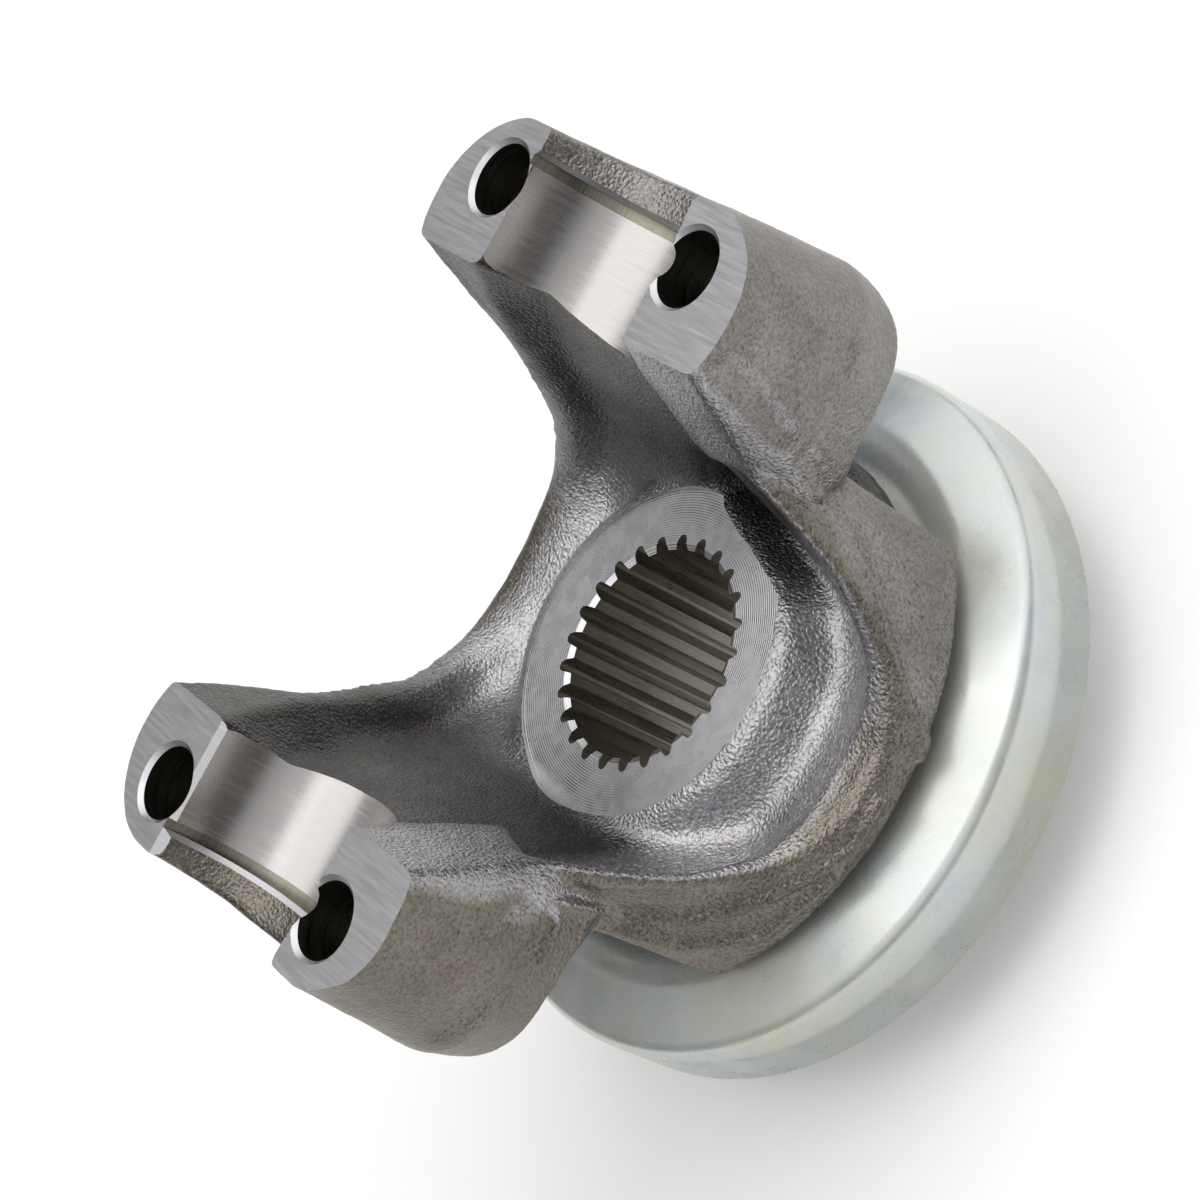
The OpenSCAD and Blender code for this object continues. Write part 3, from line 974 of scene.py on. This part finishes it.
yoke = forging_blank()
forge_skin(yoke)
mark_flank(yoke)
raise_rim_band(yoke)
roughen_skin(yoke)
yoke.data.materials.clear()
yoke.data.materials.append(shot_blasted_forging())
machine(yoke)
finish_piece(yoke, "forged_yoke")
shield = new_object("dust_shield_sheet", shield_shape())
shield.data.materials.append(bright_zinc_plate())
shield.data.shade_smooth()
finish_piece(shield, "dust_shield")

# The camera, solved from the hole pattern, the saddles and the hub's circles in the photograph
CAMERA_AIM = (2.558, 2.939, 41.768)
CAMERA_DISTANCE = 375.0
CAMERA_AZIMUTH = math.radians(3.729)
CAMERA_ELEVATION = math.radians(39.155)
CAMERA_ROLL = math.radians(-63.21)
FOCAL_LENGTH = 103.382
SENSOR_WIDTH = 36.0
camera_data = bpy.data.cameras.new("camera")
camera_data.lens = FOCAL_LENGTH
camera_data.sensor_width = SENSOR_WIDTH
camera = link_object("camera", camera_data)
turn = (
    Matrix.Rotation(CAMERA_AZIMUTH, 4, "Z")
    @ Matrix.Rotation(math.pi / 2 - CAMERA_ELEVATION, 4, "X")
    @ Matrix.Rotation(CAMERA_ROLL, 4, "Z")
)
back = Matrix.Translation((0, 0, CAMERA_DISTANCE * MM))
camera.matrix_world = Matrix.Translation(Vector(CAMERA_AIM) * MM) @ turn @ back
bpy.context.scene.camera = camera

# The floor. Seen by the camera or in the metal it is lifted to white, and keeps its shadow
FLOOR_LIFT = 0.22
bm = bmesh.new()
bmesh.ops.create_grid(bm, x_segments=1, y_segments=1, size=3)
floor = new_object("floor", bm)
paint = bpy.data.materials.new("floor_matt_paint")
paint.use_nodes = True
tree = paint.node_tree
shader = tree.nodes["Principled BSDF"]
shader.inputs["Base Color"].default_value = linear("#e8e8e6")
shader.inputs["Roughness"].default_value = 0.9
camera_ray = add_node(tree, "ShaderNodeLightPath", {}, "Is Camera Ray")
glossy_ray = add_node(tree, "ShaderNodeLightPath", {}, "Is Glossy Ray")
seen = add_node(tree, "ShaderNodeMath", {0: camera_ray, 1: glossy_ray}, operation="MAXIMUM")
lift = add_node(tree, "ShaderNodeMath", {0: seen, 1: FLOOR_LIFT}, operation="MULTIPLY")
glow = add_node(tree, "ShaderNodeEmission", {"Strength": lift})
both = add_node(tree, "ShaderNodeAddShader", {0: shader.outputs[0], 1: glow})
tree.links.new(both, tree.nodes["Material Output"].inputs["Surface"])
floor.data.materials.append(paint)

# The studio is light overhead and in the upper walls, with a darker band above the floor, and the
# camera sees it white
world = bpy.data.worlds.new("studio")
bpy.context.scene.world = world
world.use_nodes = True
tree = world.node_tree
direction = add_node(tree, "ShaderNodeTexCoord", {}, "Generated")
height = add_node(tree, "ShaderNodeSeparateXYZ", {0: direction}, "Z")
walls = add_node(
    tree,
    "ShaderNodeMapRange",
    {"Value": height, "From Min": 0.36, "From Max": 0.7, "To Min": 0.16, "To Max": 0.55},
)
overhead = add_node(
    tree, "ShaderNodeMapRange", {"Value": height, "From Min": 0.75, "From Max": 1.0, "To Max": 0.35}
)
light = add_node(tree, "ShaderNodeMath", {0: walls, 1: overhead}, operation="ADD")
camera_ray = add_node(tree, "ShaderNodeLightPath", {}, "Is Camera Ray")
strength = add_node(tree, "ShaderNodeMix", {0: camera_ray, 2: light, 3: 1.0}, data_type="FLOAT")
tree.links.new(strength, tree.nodes["Background"].inputs["Strength"])
tree.nodes["Background"].inputs["Color"].default_value = (1, 1, 1, 1)

# Each lamp: where it stands round and above the aim in degrees, its distance and size in metres,
# and its watts
LAMP_AIM = Vector((0, 0, 0.035))
for name, around, above, away, size, watts in (
    ("key", 10, 42, 0.7, 0.9, 3.0),
    ("fill", -115, 50, 0.8, 0.8, 0.8),
    ("top", 0, 88, 0.8, 0.75, 2.1),
):
    data = bpy.data.lights.new(name, "AREA")
    data.size = size
    data.energy = watts
    link_object(name, data).matrix_world = (
        Matrix.Translation(LAMP_AIM)
        @ Matrix.Rotation(math.radians(around + 90), 4, "Z")
        @ Matrix.Rotation(math.radians(90 - above), 4, "X")
        @ Matrix.Translation((0, 0, away))
    )

bpy.context.scene.view_settings.view_transform = "Standard"
